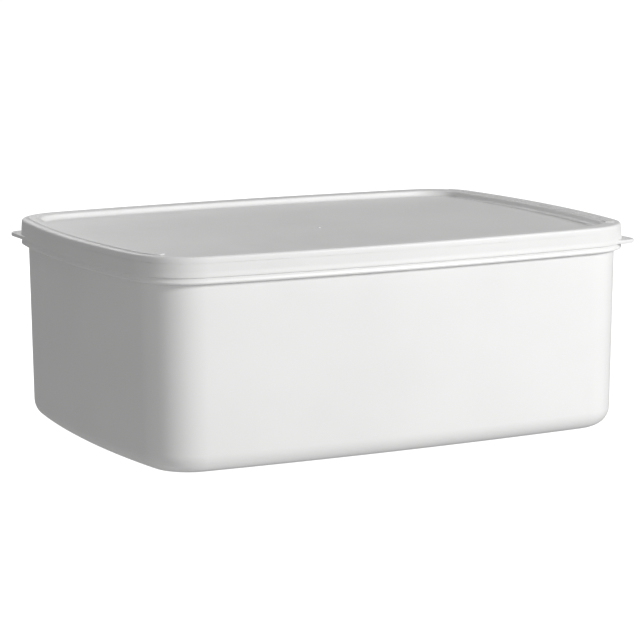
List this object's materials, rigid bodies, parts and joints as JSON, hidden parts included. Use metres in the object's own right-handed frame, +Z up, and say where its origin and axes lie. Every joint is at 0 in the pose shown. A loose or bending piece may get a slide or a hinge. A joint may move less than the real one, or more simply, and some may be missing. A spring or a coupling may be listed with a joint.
{
  "type": "tamper evident food container",
  "caption": "Shut rectangular tub of white moulded plastic for prepared food, with a pressed-on lid that sits behind a collar and is opened by its corner tabs.",
  "frame": {"origin": "middle of the tub's length and width, on the surface it stands on", "axes": "+Z up, X along the tub's length, Y along its width; the side shown widest in the picture faces -Y"},
  "size_m": [0.2808, 0.2034, 0.1056],
  "materials": {
    "tub_plastic": "white polypropylene, smooth and fairly glossy outside",
    "lid_plastic": "white polypropylene, satin on the panel and smoother on the rim"
  },
  "bodies": {
    "root": {"tub": "tub_plastic", "lid": "lid_plastic"}
  },
  "joints": []
}
